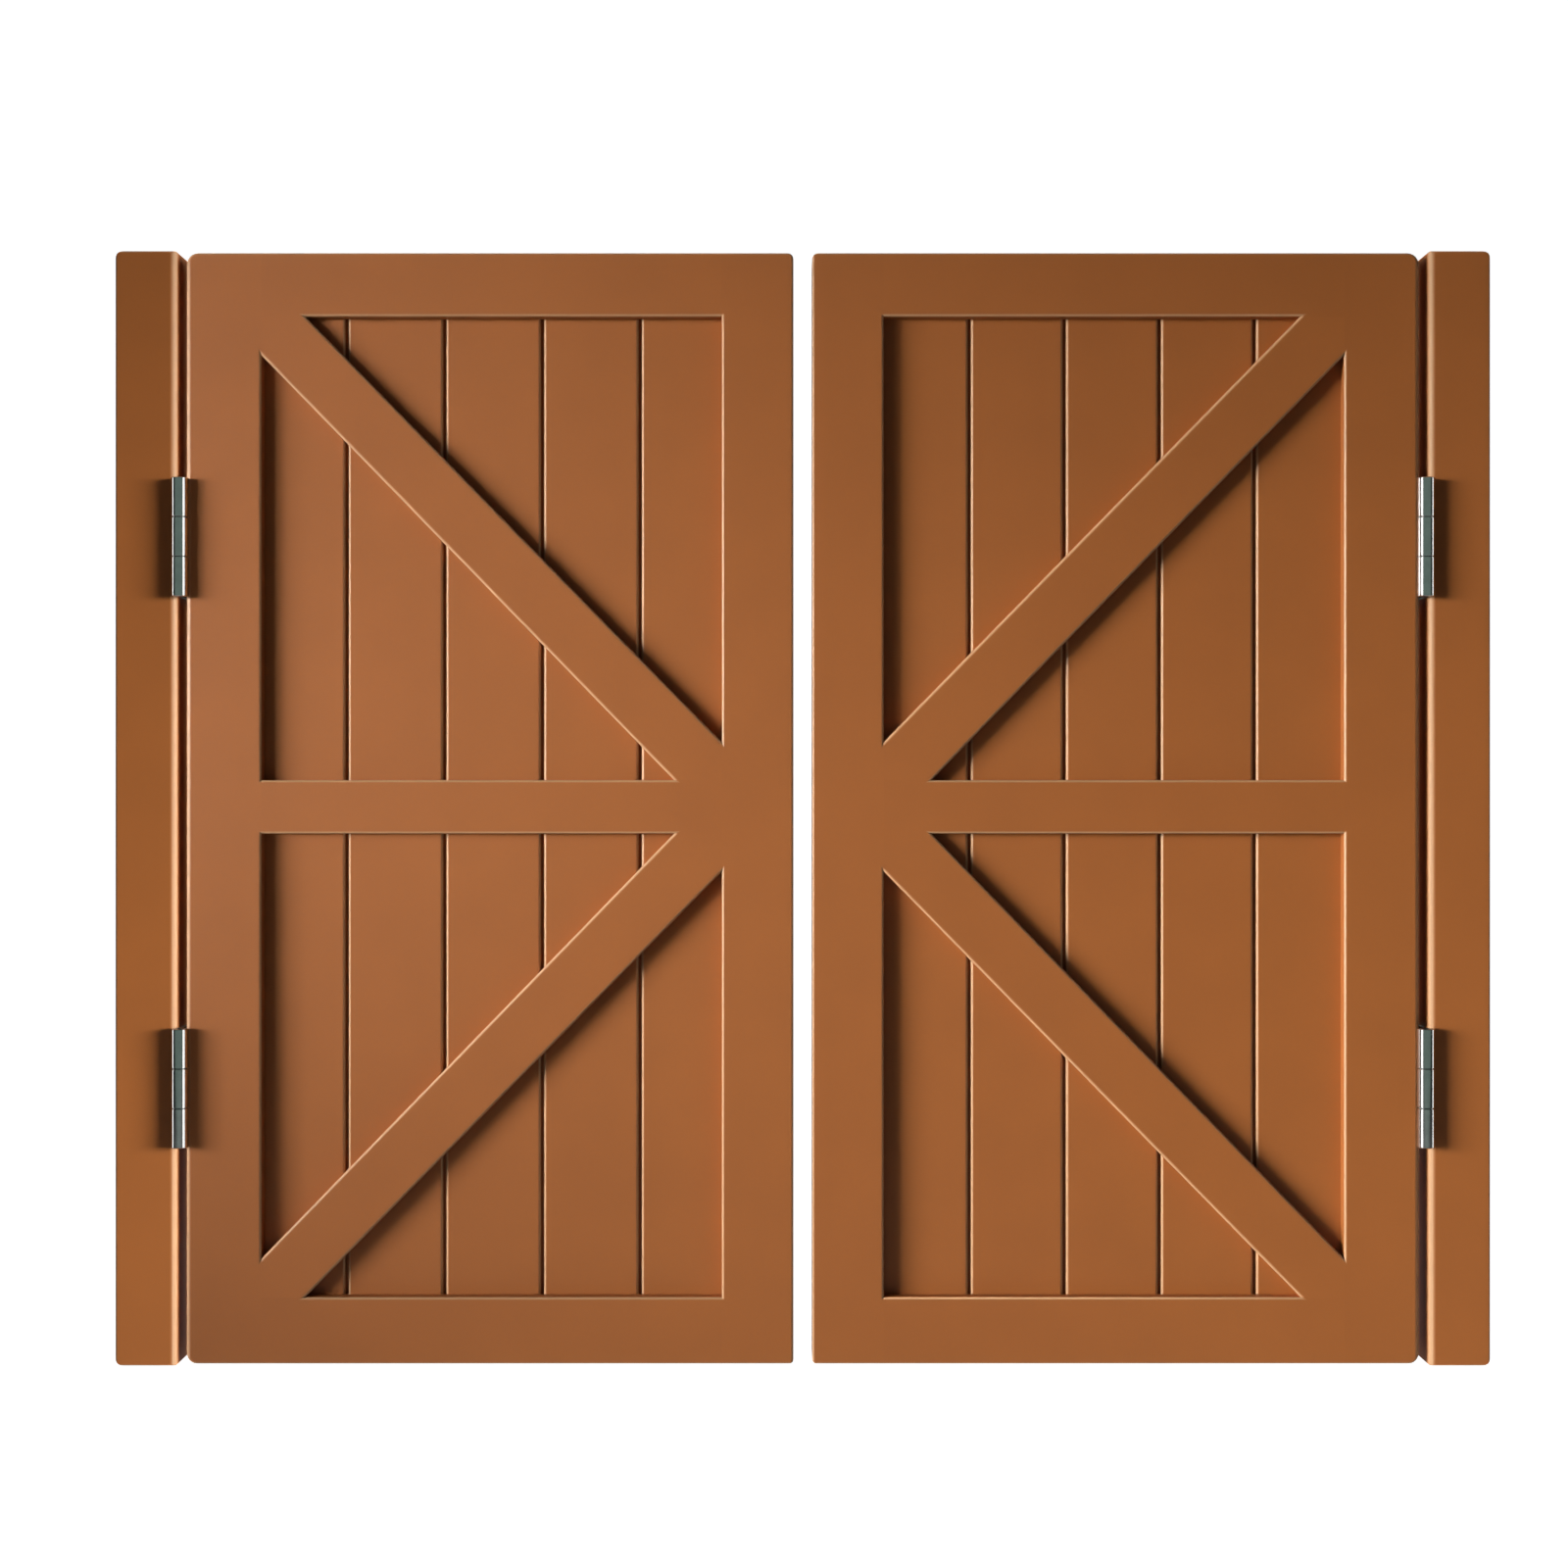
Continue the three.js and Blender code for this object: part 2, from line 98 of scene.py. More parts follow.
# Paint, and a pale colour on the rounded edges, shaded and lit alike, that paints in the key light's
# highlight there
PAINT_COLOUR = (0.362, 0.109, 0.017, 1)
PAINTED_HIGHLIGHT_COLOUR = (0.52, 0.3, 0.15, 1)
PAINT_ROUGHNESS = (0.64, 0.72)
PAINT_SPECULAR = 0.45
COAT_WEIGHT = 0.3
COAT_IOR = 1.5
COAT_ROUGHNESS = 0.3
CLOUD_SIZE = 70 * MM
CLOUD_CHANGE = 0.03
MOTTLE_SIZE = 3 * MM
MOTTLE_CHANGE = 0.02
GRAIN_WIDTH = 3 * MM
GRAIN_LENGTH = 160 * MM
GRAIN_HEIGHT = 0.006 * MM
PEEL_SIZE = 1.6 * MM
PEEL_DETAIL = 1.0
PEEL_HEIGHT = 0.004 * MM

# Steel
HINGE_COLOUR = (0.66, 0.67, 0.66, 1)
HINGE_ROUGHNESS = (0.09, 0.14)
SPINDLE_COLOUR = (0.42, 0.43, 0.44, 1)
SPINDLE_ROUGHNESS = (0.28, 0.4)
SPRING_COLOUR = (0.16, 0.165, 0.175, 1)
SPRING_ROUGHNESS = (0.35, 0.5)
SCREW_COLOUR = (0.58, 0.585, 0.58, 1)
SCREW_ROUGHNESS = (0.22, 0.34)
BRUSH_WIDTH = 0.25 * MM
BRUSH_LENGTH = 22 * MM
BRUSH_DETAIL = 3.0
BRUSH_HEIGHT = 0.0008 * MM
SMEAR_SIZE = 9 * MM
SMEAR_CHANGE = 0.06

# Hinge sizes, read from the frame
LINK_LOW, LINK_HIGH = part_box("left_upper_link")
BARREL_RADIUS = (LINK_HIGH.x - LINK_LOW.x) / 2
BARREL_HALF = (LINK_HIGH.z - LINK_LOW.z) / 2
BARREL_OFFSET = LINK_HIGH.y - BARREL_RADIUS
PLATE_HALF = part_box("left_upper_leaf_flange")[1].y
HINGE_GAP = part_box("left_hinge_stile")[0].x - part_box("left_post")[1].x

# Hinge details
BARREL_BORE = 5.9 * MM
BARREL_SIDES = 72
KNUCKLE_GAP = 0.5 * MM
KNUCKLE_CHAMFER = 0.5 * MM
PLATE_THICKNESS = 2 * MM
PLATE_CORNER = 3 * MM
PLATE_CHAMFER = 0.25 * MM
PLATE_BEDDING = 0.1 * MM
WEB_EDGE = 0.4 * MM
WEB_CORNER = 0.5 * MM
WEB_CLEARANCE = 0.3 * MM
NECK_REACH = 6.4 * MM
NECK_ROOT = 1 * MM
SCREW_SHANK = 2.2 * MM
SCREW_HEAD = 4 * MM
SCREW_SIDES = 32
SCREW_LENGTH = 20 * MM
SCREW_POINT = 5 * MM
SCREW_SUNK = 0.08 * MM
SCREW_PLAY = 0.12 * MM
RECESS_WIDTH = 0.9 * MM
RECESS_REACH = 2.3 * MM
RECESS_DEPTH = 1.2 * MM
RECESS_TAPER = 0.55
SCREW_FROM_EDGE = 7 * MM
SCREW_FROM_END = 11 * MM
SCREW_PITCH = 12 * MM
FIRST_SCREW_TURN = math.radians(25)
SCREW_TURN_STEP = math.radians(40)

# Spindles and springs
SPINDLE_RADIUS = 5.5 * MM
SPINDLE_WAIST = 2.5 * MM
SPINDLE_SHOULDER = 17.6 * MM
SPINDLE_CHAMFER = 0.5 * MM
SPINDLE_SIDES = 48
KEY_RADIUS = 2.4 * MM
KEY_DEPTH = 6 * MM
KEY_SIDES = 6
SPRING_RADIUS = 4.1 * MM
SPRING_WIRE = 2 * MM
SPRING_TURNS = 7
SPRING_END_GAP = 0.3 * MM
SPRING_STEPS = 28
WIRE_SIDES = 10

# Camera
CAMERA_PLACE = (-0.0162, -1.875, 0.021)
CAMERA_LENS = 49.5

# Studio. The floor glows by the distance from its middle: white to the camera, and dimmer in reflections.
FLOOR_HEIGHT = -0.78
STAGE_MIDDLE = 0.001
STAGE_RADIUS = 5.5
STAGE_CURVE = 1.0
CURVE_STEPS = 8
STAGE_WALL = 4.0
STAGE_OVERLAP = math.radians(8)
STAGE_STEPS = 96
STAGE_COLOUR = (0.6, 0.6, 0.6, 1)
GLOW_DISTANCE = (0.8, 2.0)
GLOW_STRENGTH = (0.92, 1.0)
MIRROR_DISTANCE = (2.0, 4.0)
MIRROR_STRENGTH = (0.28, 0.0)
ROOM_COLOUR = (0.01, 0.01, 0.01, 1)
ROOM_FILL = (0.08, 0.08, 0.08, 1)
WHITE = (1, 1, 1, 1)

# Lights: the key comes from the left, and spots add to it at the upper left.
# A grid gives the width of a beam in degrees.
NO_GRID = 180
KEY_PLACES = [(-3.7, -2.83, 0.42), (-4.1, -2.25, 0.34), (-4.4, -1.61, 0.26)]
KEY_AIM = (1.47, 0, -0.44)
KEY_SIZE = (0.75, 1.5)
KEY_POWER = 6.1
KEY_GRID = 29.5
LEFT_POST_GAIN = 1.04
SPOT_PLACES = [(-3.35, -3.0, 0.6), (-4.0, -2.4, 0.6)]
SPOT_AIM = (-0.61, 0, 0.38)
SPOT_SIZE = (0.75, 1.2)
SPOT_POWER = 1.0
SPOT_GRID = 11.4

# Back lights: place, power, grid, and whether reflections show them
BACK_SIZE = (1.5, 1.5)
BACK_LIGHTS = {
    "back_key_left": ((-1.9, 3.0, 0.9), 4, 60, False),
    "back_key_right": ((1.9, 3.0, 0.9), 8, 60, False),
    "back_fill_left": ((-3.0, 2.4, 1.2), 15, NO_GRID, True),
    "back_fill_right": ((3.0, 2.4, 1.2), 22, NO_GRID, True),
}

# Lights of the hinges alone: strips, given by angle from the front in degrees, distance, size and power,
# and a broad dim light before and behind that stands for the room
HINGE_STRIPS = {
    "band": (-66, 2.5, (1.1, 2.4), 17),
    "rim": (84, 2.5, (0.4, 2.4), 9.5),
}
HINGE_ROOM_DISTANCE = 3.0
HINGE_ROOM_SIZE = (7, 3)
HINGE_ROOM_POWER = 12
HINGE_ROOM_COLOUR = (0.72, 1.0, 0.88)


# Material helpers


def new_material(name):
    material = bpy.data.materials.new(name)
    material.use_nodes = True
    return material, material.node_tree, material.node_tree.nodes["Principled BSDF"]


def add(tree, kind, inputs=None, **settings):
    """A node with its settings, its inputs given as values or as sockets to link from."""
    node = tree.nodes.new(kind)
    for key, value in settings.items():
        setattr(node, key, value)
    for key, value in (inputs or {}).items():
        if isinstance(value, bpy.types.NodeSocket):
            tree.links.new(value, node.inputs[key])
        else:
            node.inputs[key].default_value = value
    return node


def noise(tree, place, size, detail=NOISE_DETAIL):
    """Noise with features of about that size, which may differ along X, Y and Z."""
    sizes = Vector(size if isinstance(size, tuple) else (size,) * 3)
    scale = tuple(1 / each for each in sizes)
    scaled = add(tree, "ShaderNodeMapping", {"Vector": place, "Scale": scale})
    inputs = {"Vector": scaled.outputs["Vector"], "Scale": 1.0, "Detail": detail}
    return add(tree, "ShaderNodeTexNoise", inputs).outputs["Fac"]


def ranged(tree, value, span, result):
    """A value carried from one range to another, and held at its ends."""
    inputs = {
        "Value": value,
        "From Min": span[0],
        "From Max": span[1],
        "To Min": result[0],
        "To Max": result[1],
    }
    return add(tree, "ShaderNodeMapRange", inputs).outputs["Result"]


def spread(tree, value, low, high):
    """The middle of a noise's range, spread from low to high."""
    return ranged(tree, value, NOISE_RANGE, (low, high))


def bump(tree, height, distance, normal=None):
    inputs = {"Height": height, "Distance": distance, "Strength": 1.0}
    if normal is not None:
        inputs["Normal"] = normal
    return add(tree, "ShaderNodeBump", inputs).outputs["Normal"]


def edges(tree):
    """Where the painted highlight goes: one where a surface turns halfway from the face of the doors to its
    side, nought on both of them.
    """
    normal = add(tree, "ShaderNodeTexCoord").outputs["Normal"]
    facing = add(tree, "ShaderNodeSeparateXYZ", {0: normal}).outputs["Y"]
    squared = add(tree, "ShaderNodeMath", {0: facing, 1: facing}, operation="MULTIPLY").outputs[0]
    rest = add(tree, "ShaderNodeMath", {0: 1.0, 1: squared}, operation="SUBTRACT").outputs[0]
    both = add(tree, "ShaderNodeMath", {0: squared, 1: rest}, operation="MULTIPLY").outputs[0]
    # The product is a quarter at its highest
    return add(tree, "ShaderNodeMath", {0: both, 1: 4.0}, operation="MULTIPLY").outputs[0]


def paint(name, lean):
    """Satin paint over wood whose grain leans that far from upright, in the plane of the doors."""
    material, tree, shader = new_material(name)
    place = add(tree, "ShaderNodeTexCoord").outputs["Object"]
    along = add(tree, "ShaderNodeMapping", {"Vector": place, "Rotation": (0, lean, 0)}).outputs["Vector"]
    clouds = noise(tree, along, CLOUD_SIZE)
    mottle = noise(tree, along, MOTTLE_SIZE)
    grain = noise(tree, along, (GRAIN_WIDTH, GRAIN_WIDTH, GRAIN_LENGTH))
    peel = noise(tree, along, PEEL_SIZE, PEEL_DETAIL)
    cloudy = spread(tree, clouds, 1 - CLOUD_CHANGE, 1 + CLOUD_CHANGE)
    mottled = spread(tree, mottle, 1 - MOTTLE_CHANGE, 1 + MOTTLE_CHANGE)
    value = add(tree, "ShaderNodeMath", {0: cloudy, 1: mottled}, operation="MULTIPLY")
    # Inputs 6 and 7 and output 2 of this node are its colours: the paint, and the pale painted highlight of
    # the rounded edges
    paint_and_painted_highlight = {0: edges(tree), 6: PAINT_COLOUR, 7: PAINTED_HIGHLIGHT_COLOUR}
    mixed = add(tree, "ShaderNodeMix", paint_and_painted_highlight, data_type="RGBA").outputs[2]
    colour = add(tree, "ShaderNodeHueSaturation", {"Color": mixed, "Value": value.outputs[0]})
    normal = bump(tree, peel, PEEL_HEIGHT, bump(tree, grain, GRAIN_HEIGHT))
    tree.links.new(colour.outputs["Color"], shader.inputs["Base Color"])
    tree.links.new(spread(tree, mottle, *PAINT_ROUGHNESS), shader.inputs["Roughness"])
    tree.links.new(normal, shader.inputs["Normal"])
    tree.links.new(normal, shader.inputs["Coat Normal"])
    shader.inputs["Specular IOR Level"].default_value = PAINT_SPECULAR
    shader.inputs["Coat Weight"].default_value = COAT_WEIGHT
    shader.inputs["Coat IOR"].default_value = COAT_IOR
    shader.inputs["Coat Roughness"].default_value = COAT_ROUGHNESS
    return material


def steel(name, colour, roughness):
    """Steel with fine brushing drawn out along Z."""
    material, tree, shader = new_material(name)
    place = add(tree, "ShaderNodeTexCoord").outputs["Object"]
    lines = noise(tree, place, (BRUSH_WIDTH, BRUSH_WIDTH, BRUSH_LENGTH), BRUSH_DETAIL)
    smears = noise(tree, place, SMEAR_SIZE)
    shade = spread(tree, smears, 1 - SMEAR_CHANGE, 1 + SMEAR_CHANGE)
    tone = add(tree, "ShaderNodeHueSaturation", {"Color": colour, "Value": shade})
    tree.links.new(tone.outputs["Color"], shader.inputs["Base Color"])
    tree.links.new(spread(tree, lines, *roughness), shader.inputs["Roughness"])
    tree.links.new(bump(tree, lines, BRUSH_HEIGHT), shader.inputs["Normal"])
    shader.inputs["Metallic"].default_value = 1.0
    return material


# Mesh helpers


def lofted(rings, closed=False):
    """A solid through rings of points: capped at both ends, or closed on itself."""
    shape = bmesh.new()
    loops = [[shape.verts.new(point) for point in ring] for ring in rings]
    count = len(loops[0])
    following = loops[1:] + (loops[:1] if closed else [])
    for one, other in zip(loops, following):
        for i in range(count):
            j = (i + 1) % count
            shape.faces.new((one[i], one[j], other[j], other[i]))
    if not closed:
        shape.faces.new(loops[0])
        shape.faces.new(loops[-1])
    bmesh.ops.remove_doubles(shape, verts=shape.verts, dist=MERGE_DISTANCE)
    bmesh.ops.recalc_face_normals(shape, faces=shape.faces)
    return shape


def turned(profile, sides, y=0.0):
    """A profile of radius and height turned about an upright axis; it ends on the axis or is a ring."""
    rings = []
    for step in range(sides):
        angle = 2 * math.pi * step / sides
        rings.append([(r * math.cos(angle), y + r * math.sin(angle), z) for r, z in profile])
    return lofted(rings, closed=True)


def block(low, high):
    corners = [(low[0], low[1]), (high[0], low[1]), (high[0], high[1]), (low[0], high[1])]
    return lofted([[(x, y, z) for x, y in corners] for z in (low[2], high[2])])


def rounded_outline(half_y, half_z, radius):
    """Points of Y and Z round a rectangle with rounded corners."""
    points = []
    for corner, (sign_y, sign_z) in enumerate([(1, 1), (-1, 1), (-1, -1), (1, -1)]):
        for step in range(CORNER_STEPS + 1):
            angle = (corner + step / CORNER_STEPS) * math.pi / 2
            y = sign_y * (half_y - radius) + radius * math.cos(angle)
            z = sign_z * (half_z - radius) + radius * math.sin(angle)
            points.append((y, z))
    return points


def plate(half_y, half_z, radius, x0, x1):
    """A plate square to X with rounded corners and a fine chamfer all round."""
    levels = [
        (x0, PLATE_CHAMFER),
        (x0 + PLATE_CHAMFER, 0),
        (x1 - PLATE_CHAMFER, 0),
        (x1, PLATE_CHAMFER),
    ]
    rings = []
    for x, inset in levels:
        outline = rounded_outline(half_y - inset, half_z - inset, radius - inset)
        rings.append([(x, y, z) for y, z in outline])
    return lofted(rings)


def combined(base, additions=(), cuts=()):
    """One mesh made of a shape, the shapes joined to it and the shapes cut out of it."""
    steps = [(base, None)]
    steps += [(shape, "UNION") for shape in additions]
    steps += [(shape, "DIFFERENCE") for shape in cuts]
    objects = []
    for shape, operation in steps:
        mesh = bpy.data.meshes.new("step")
        shape.to_mesh(mesh)
        shape.free()
        tool = bpy.data.objects.new("step", mesh)
        bpy.context.scene.collection.objects.link(tool)
        if operation:
            modifier = objects[0].modifiers.new(operation, "BOOLEAN")
            modifier.operation = operation
            modifier.solver = "EXACT"
            modifier.object = tool
        objects.append(tool)
    depsgraph = bpy.context.evaluated_depsgraph_get()
    made = bpy.data.meshes.new_from_object(objects[0].evaluated_get(depsgraph))
    for tool in objects:
        bpy.data.objects.remove(tool)
    cleaned = bmesh.new()
    cleaned.from_mesh(made)
    bmesh.ops.remove_doubles(cleaned, verts=cleaned.verts, dist=SLIVER)
    bmesh.ops.dissolve_degenerate(cleaned, edges=cleaned.edges, dist=SLIVER)
    cleaned.to_mesh(made)
    cleaned.free()
    return made


def smoothed(mesh):
    mesh.shade_smooth()
    mesh.set_sharp_from_angle(angle=SHARP_EDGE)
    return mesh


def show(name, mesh, material, body, nodes=()):
    """A piece of the doors that moves with a body and stands for some CAD nodes."""
    piece = bpy.data.objects.new(name, mesh)
    bpy.context.scene.collection.objects.link(piece)
    mesh.materials.clear()
    mesh.materials.append(material)
    piece.modifiers.new("normals", "WEIGHTED_NORMAL").keep_sharp = True
    if nodes:
        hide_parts(*nodes)
    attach(piece, body)
    return piece


# Woodwork


def corner_cutter(low, high, way_x, way_z, radius, side_arris):
    """What rounds off one corner of a piece's outline, with the arris carried round the bend."""
    edge_x = high.x if way_x > 0 else low.x
    edge_z = high.z if way_z > 0 else low.z
    half = (high.y - low.y) / 2
    deepest = max(side_arris, END_ARRIS)
    depths = [-CUT_MARGIN] + [deepest * step / ARRIS_STEPS for step in range(ARRIS_STEPS + 1)]
    levels = [(depth - half, depth) for depth in depths]
    levels += [(half - depth, depth) for depth in reversed(depths)]
    rings = []
    for y, depth in levels:
        ring = []
        for step in range(CORNER_STEPS + 1):
            turn = step / CORNER_STEPS
            arris = side_arris + (END_ARRIS - side_arris) * turn
            remaining = min(max(arris - depth, 0), arris)
            reach = radius - arris + math.sqrt(arris**2 - remaining**2)
            x = edge_x - way_x * (radius - reach * math.cos(turn * math.pi / 2))
            z = edge_z - way_z * (radius - reach * math.sin(turn * math.pi / 2))
            ring.append((x, y, z))
        out_x = edge_x + way_x * CUT_MARGIN
        out_z = edge_z + way_z * CUT_MARGIN
        ring.append((edge_x - way_x * radius, y, out_z))
        ring.append((out_x, y, out_z))
        ring.append((out_x, y, edge_z - way_z * radius))
        rings.append(ring)
    return lofted(rings)


def corner_cutters(node, shape):
    """The two cutters of a stile's free corners, and none for other pieces."""
    kind = next((kind for kind in LEAF_CORNERS if kind in node), None)
    if kind is None:
        return []
    places = [vert.co for vert in shape.verts]
    low = Vector([min(place[axis] for place in places) for axis in range(3)])
    high = Vector([max(place[axis] for place in places) for axis in range(3)])
    outwards = -1 if node.startswith("left") else 1
    way_x = outwards if kind == "hinge_stile" else -outwards
    top, bottom, arris = LEAF_CORNERS[kind]
    return [
        corner_cutter(low, high, way_x, 1, top, arris),
        corner_cutter(low, high, way_x, -1, bottom, arris),
    ]


def dressed(node):
    """A wooden piece in its film of paint, with its level facets merged and its free corners rounded."""
    shape = bmesh.new()
    shape.from_mesh(frame["nodes"][node].data)
    bmesh.ops.remove_doubles(shape, verts=shape.verts, dist=MERGE_DISTANCE)
    bmesh.ops.dissolve_limit(shape, angle_limit=FLAT_ANGLE, verts=shape.verts, edges=shape.edges)
    shape.normal_update()
    moves = [
        (vert, vert.normal * PAINT_FILM * min(vert.calc_shell_factor(), MITRE_LIMIT))
        for vert in shape.verts
    ]
    for vert, move in moves:
        vert.co += move
    return smoothed(combined(shape, cuts=corner_cutters(node, shape)))


def grain_of(node):
    """Which way a piece's grain runs."""
    if "rail" in node:
        return "across"
    if "brace" in node:
        rises_right = node.startswith("left") != ("upper" in node)
        return "rising" if rises_right else "falling"
    return "upright"


def woodwork():
    """Every wooden piece in its paint."""
    paints = {way: paint(f"paint_{way}", math.radians(lean)) for way, lean in GRAIN_LEANS.items()}
    nodes = [node for node in frame["nodes"] if any(kind in node for kind in WOODEN_KINDS)]
    pieces = {}
    for node in sorted(node for node in nodes if "flange" not in node):
        mesh = dressed(node)
        piece = show(f"painted_{node}", mesh, paints[grain_of(node)], BODY_OF[node], [node])
        if "board" in node:
            # The edge is rounded before the normals are weighted
            edge = piece.modifiers.new("sanded", "BEVEL")
            edge.width = BOARD_EDGE
            edge.segments = BOARD_EDGE_STEPS
            edge.limit_method = "ANGLE"
            piece.modifiers.move(1, 0)
        pieces[node] = piece
    return pieces


# Hinges, drawn about the middle of the gap between leaf and post


def knuckle(y, z0, z1):
    """A bored length of a barrel with chamfered ends."""
    c, r = KNUCKLE_CHAMFER, BARREL_RADIUS
    profile = [(BARREL_BORE, z0), (r - c, z0), (r, z0 + c), (r, z1 - c), (r - c, z1), (BARREL_BORE, z1)]
    return turned(profile, BARREL_SIDES, y)


def screw_places():
    """Y and Z of a flange's four screws."""
    edge = PLATE_HALF - SCREW_FROM_EDGE
    end = BARREL_HALF - SCREW_FROM_END
    return [(-edge, end), (edge, end - SCREW_PITCH), (edge, SCREW_PITCH - end), (-edge, -end)]


def along_x(shape, x, y, z):
    """A turned shape laid over from Z to X and moved into place."""
    lay = Matrix.Translation((x, y, z)) @ Matrix.Rotation(math.pi / 2, 4, "Y")
    bmesh.ops.transform(shape, matrix=lay, verts=shape.verts)
    return shape


def flange_span():
    """X of a flange's two faces, from the link to the wood."""
    outer = HINGE_GAP / 2 - PLATE_BEDDING
    return outer - PLATE_THICKNESS, outer


def flange_mesh():
    """The plate screwed to the wood, and the middle knuckle of the front barrel."""
    x0, x1 = flange_span()
    middle = BARREL_HALF / 3 - KNUCKLE_GAP / 2
    neck_half = BARREL_HALF / 3 - WEB_CLEARANCE
    body = plate(PLATE_HALF, BARREL_HALF, PLATE_CORNER, x0, x1)
    neck = block((x0, NECK_REACH - BARREL_OFFSET, -neck_half), (x1, NECK_ROOT - PLATE_HALF, neck_half))
    slope = (SCREW_HEAD - SCREW_SHANK) / PLATE_THICKNESS
    hole = [
        (0, -CUT_MARGIN),
        (SCREW_HEAD + slope * CUT_MARGIN, -CUT_MARGIN),
        (SCREW_SHANK, PLATE_THICKNESS),
        (SCREW_SHANK, PLATE_THICKNESS + CUT_MARGIN),
        (0, PLATE_THICKNESS + CUT_MARGIN),
    ]
    holes = [along_x(turned(hole, SCREW_SIDES), x0, y, z) for y, z in screw_places()]
    return smoothed(combined(body, [neck, knuckle(-BARREL_OFFSET, -middle, middle)], holes))


def link_mesh():
    """The web between the flanges, with the outer knuckles of both barrels."""
    thick = PLATE_THICKNESS / 2
    middle = BARREL_HALF / 3 + KNUCKLE_GAP / 2
    tab = BARREL_HALF / 3 + WEB_CLEARANCE
    reach = BARREL_OFFSET - NECK_REACH
    body = plate(PLATE_HALF + WEB_EDGE, BARREL_HALF, WEB_CORNER, -thick, thick)
    additions = []
    ends = [
        (middle, BARREL_HALF, tab, BARREL_HALF),
        (-BARREL_HALF, -middle, -BARREL_HALF, -tab),
    ]
    for z0, z1, tab0, tab1 in ends:
        additions.append(block((-thick, -reach, tab0), (thick, reach, tab1)))
        additions += [knuckle(-BARREL_OFFSET, z0, z1), knuckle(BARREL_OFFSET, z0, z1)]
    return smoothed(combined(body, additions))


def cross_cutter(x0):
    """The two tapered bars of the cross that makes a driver recess, sunk from x0."""
    bars = []
    for turn in (0, math.pi / 2):
        rings = []
        for x, scale in [(x0 - CUT_MARGIN, 1.0), (x0 + RECESS_DEPTH, RECESS_TAPER)]:
            reach, half = RECESS_REACH * scale, RECESS_WIDTH / 2
            rings.append([(x, -reach, -half), (x, reach, -half), (x, reach, half), (x, -reach, half)])
        bar = lofted(rings)
        bmesh.ops.rotate(bar, cent=(0, 0, 0), matrix=Matrix.Rotation(turn, 3, "X"), verts=bar.verts)
        bars.append(bar)
    return bars


def screws_mesh():
    """The four countersunk screws of a flange."""
    x0, _ = flange_span()
    head = SCREW_HEAD - SCREW_PLAY
    shank = SCREW_SHANK - SCREW_PLAY
    profile = [
        (0, SCREW_SUNK),
        (head - SCREW_PLAY, SCREW_SUNK),
        (head - SCREW_PLAY, 2 * SCREW_SUNK),
        (shank, PLATE_THICKNESS),
        (shank, SCREW_LENGTH - SCREW_POINT),
        (0, SCREW_LENGTH),
    ]
    one = along_x(turned(profile, SCREW_SIDES), x0, 0, 0)
    screw = combined(one, cuts=cross_cutter(x0 + SCREW_SUNK))
    group = bmesh.new()
    for turn, (y, z) in enumerate(screw_places()):
        before = set(group.verts)
        group.from_mesh(screw)
        fresh = [vert for vert in group.verts if vert not in before]
        place = Matrix.Translation((0, y, z))
        place = place @ Matrix.Rotation(FIRST_SCREW_TURN + SCREW_TURN_STEP * turn, 4, "X")
        bmesh.ops.transform(group, matrix=place, verts=fresh)
    made = bpy.data.meshes.new("screws")
    group.to_mesh(made)
    group.free()
    return smoothed(made)


def spindle_mesh():
    """A waist inside the spring, a shoulder at each end, and a key socket on top."""
    half, c, r = BARREL_HALF, SPINDLE_CHAMFER, SPINDLE_RADIUS
    profile = [
        (0, -half),
        (r - c, -half),
        (r, c - half),
        (r, -SPINDLE_SHOULDER),
        (SPINDLE_WAIST, -SPINDLE_SHOULDER),
        (SPINDLE_WAIST, SPINDLE_SHOULDER),
        (r, SPINDLE_SHOULDER),
        (r, half - c),
        (r - c, half),
        (0, half),
    ]
    socket_low, socket_high = half - KEY_DEPTH, half + CUT_MARGIN
    socket = [(0, socket_low), (KEY_RADIUS, socket_low), (KEY_RADIUS, socket_high), (0, socket_high)]
    return smoothed(combined(turned(profile, SPINDLE_SIDES), cuts=[turned(socket, KEY_SIDES)]))


def spring_mesh():
    """A torsion spring: a helix whose ends stand up against the spindle's shoulders."""
    end = SPINDLE_SHOULDER - SPRING_END_GAP
    start = SPRING_WIRE - end
    count = SPRING_TURNS * SPRING_STEPS
    path = [(0, -end)]
    path += [(2 * math.pi * i / SPRING_STEPS, start - 2 * start * i / count) for i in range(count + 1)]
    path += [(2 * math.pi * SPRING_TURNS, end)]
    outs = [Vector((math.cos(angle), math.sin(angle), 0)) for angle, _ in path]
    points = [out * SPRING_RADIUS + Vector((0, 0, z)) for out, (_, z) in zip(outs, path)]
    rings = []
    for i, (point, out) in enumerate(zip(points, outs)):
        ahead = points[min(i + 1, len(points) - 1)] - points[max(i - 1, 0)]
        side = ahead.normalized().cross(out)
        ring = []
        for step in range(WIRE_SIDES):
            angle = 2 * math.pi * step / WIRE_SIDES
            ring.append(point + (out * math.cos(angle) + side * math.sin(angle)) * SPRING_WIRE / 2)
        rings.append(ring)
    made = bpy.data.meshes.new("spring")
    shape = lofted(rings)
    shape.to_mesh(made)
    shape.free()
    return smoothed(made)


